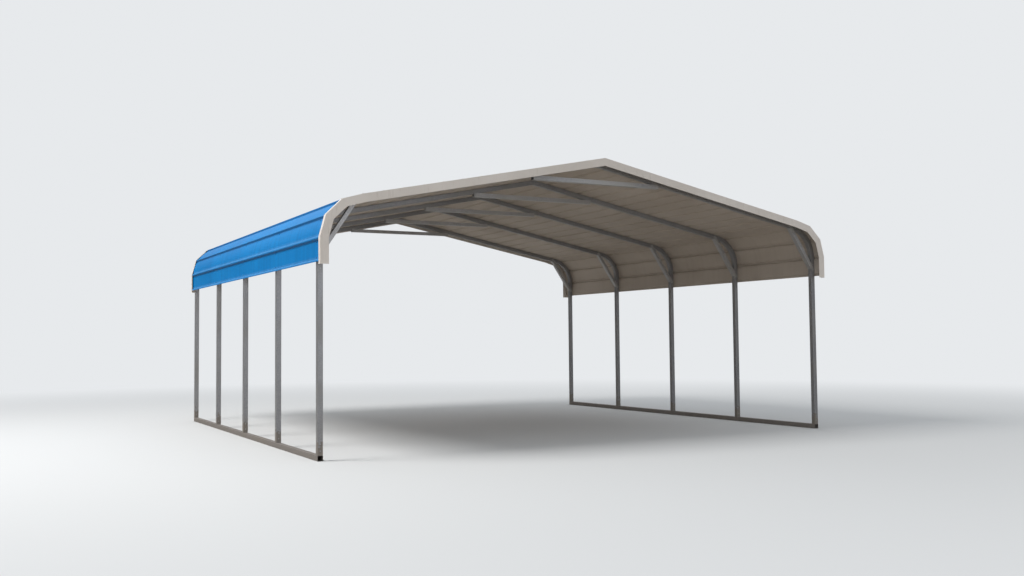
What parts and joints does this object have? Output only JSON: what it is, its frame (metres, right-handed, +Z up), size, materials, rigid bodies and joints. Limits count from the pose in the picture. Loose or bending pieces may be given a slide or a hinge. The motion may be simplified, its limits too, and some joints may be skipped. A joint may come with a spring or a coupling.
{
  "type": "carport",
  "caption": "Open steel tube carport with bent eaves, knee and peak braces, base rails and a ribbed sheet roof edged by pale trims.",
  "frame": {"origin": "on the ground, in the middle of the plan", "axes": "+Z up, X across the width, Y along the length and the ridge, front at -Y"},
  "size_m": [6.7466, 6.4024, 3.2602],
  "materials": {
    "galvanized_frame": "galvanized, dull satin",
    "roof_paint": "blue satin enamel, pale primer on the underside",
    "trim_paint": "off-white satin enamel"
  },
  "bodies": {
    "root": {"base_rail_left": "galvanized_frame", "base_rail_right": "galvanized_frame", "bow_sleeves_left": "galvanized_frame", "bow_sleeves_right": "galvanized_frame", "half_bow_left_1": "galvanized_frame", "half_bow_left_2": "galvanized_frame", "half_bow_left_3": "galvanized_frame", "half_bow_left_4": "galvanized_frame", "half_bow_left_5": "galvanized_frame", "half_bow_right_1": "galvanized_frame", "half_bow_right_2": "galvanized_frame", "half_bow_right_3": "galvanized_frame", "half_bow_right_4": "galvanized_frame", "half_bow_right_5": "galvanized_frame", "knee_braces_left": "galvanized_frame", "knee_braces_right": "galvanized_frame", "leg_left_1": "galvanized_frame", "leg_left_2": "galvanized_frame", "leg_left_3": "galvanized_frame", "leg_left_4": "galvanized_frame", "leg_left_5": "galvanized_frame", "leg_nipples_left": "galvanized_frame", "leg_nipples_right": "galvanized_frame", "leg_right_1": "galvanized_frame", "leg_right_2": "galvanized_frame", "leg_right_3": "galvanized_frame", "leg_right_4": "galvanized_frame", "leg_right_5": "galvanized_frame", "peak_braces": "galvanized_frame", "peak_sleeves": "galvanized_frame", "ridge_sheet": "roof_paint", "roof_sheet_left_1": "roof_paint", "roof_sheet_left_2": "roof_paint", "roof_sheet_left_3": "roof_paint", "roof_sheet_left_4": "roof_paint", "roof_sheet_right_1": "roof_paint", "roof_sheet_right_2": "roof_paint", "roof_sheet_right_3": "roof_paint", "roof_sheet_right_4": "roof_paint", "trim_front_left": "trim_paint", "trim_front_right": "trim_paint", "trim_rear_left": "trim_paint", "trim_rear_right": "trim_paint"}
  },
  "joints": []
}
